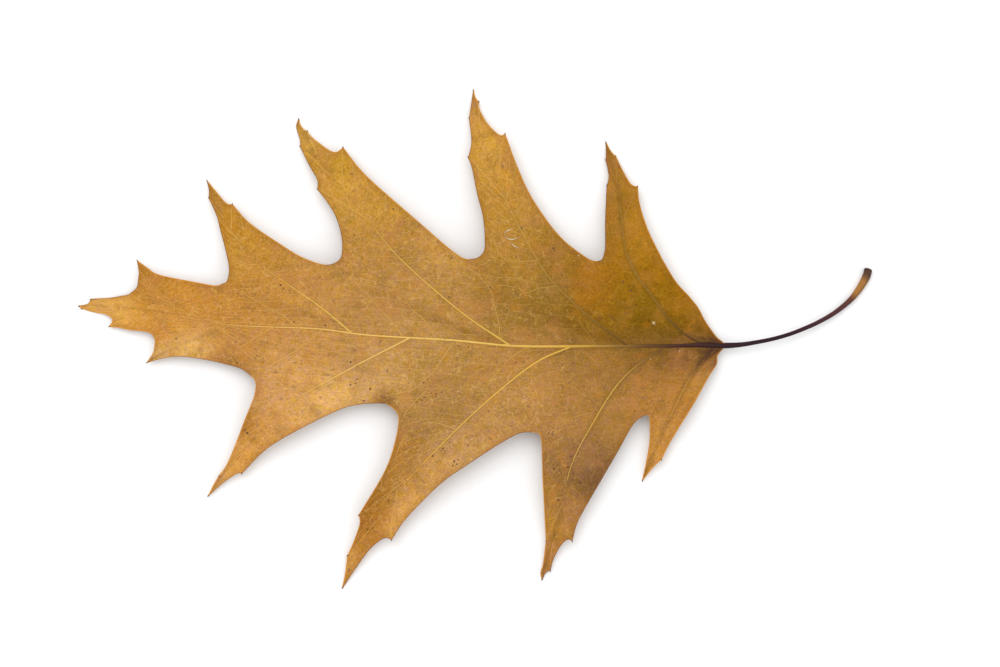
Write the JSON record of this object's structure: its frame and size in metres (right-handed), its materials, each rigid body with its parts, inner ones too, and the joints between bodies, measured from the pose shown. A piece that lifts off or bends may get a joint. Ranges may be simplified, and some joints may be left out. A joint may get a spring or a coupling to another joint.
{
  "type": "dried oak leaf",
  "caption": "Dried lobed oak leaf lying face up: thin wavy blade with pointed, bristle-tipped lobes, raised ribs and a curved stalk.",
  "frame": {"origin": "on the surface the leaf lies on, under the middle of its bounding box", "axes": "+X along the leaf from the apex of the blade to the cut end of the stalk, +Z out of its upper face"},
  "size_m": [0.1984, 0.1243, 0.007],
  "materials": {
    "dried_leaf": "dry leaf tissue, dull with a faint waxy sheen"
  },
  "bodies": {
    "root": {"oak_leaf": "dried_leaf"}
  },
  "joints": []
}
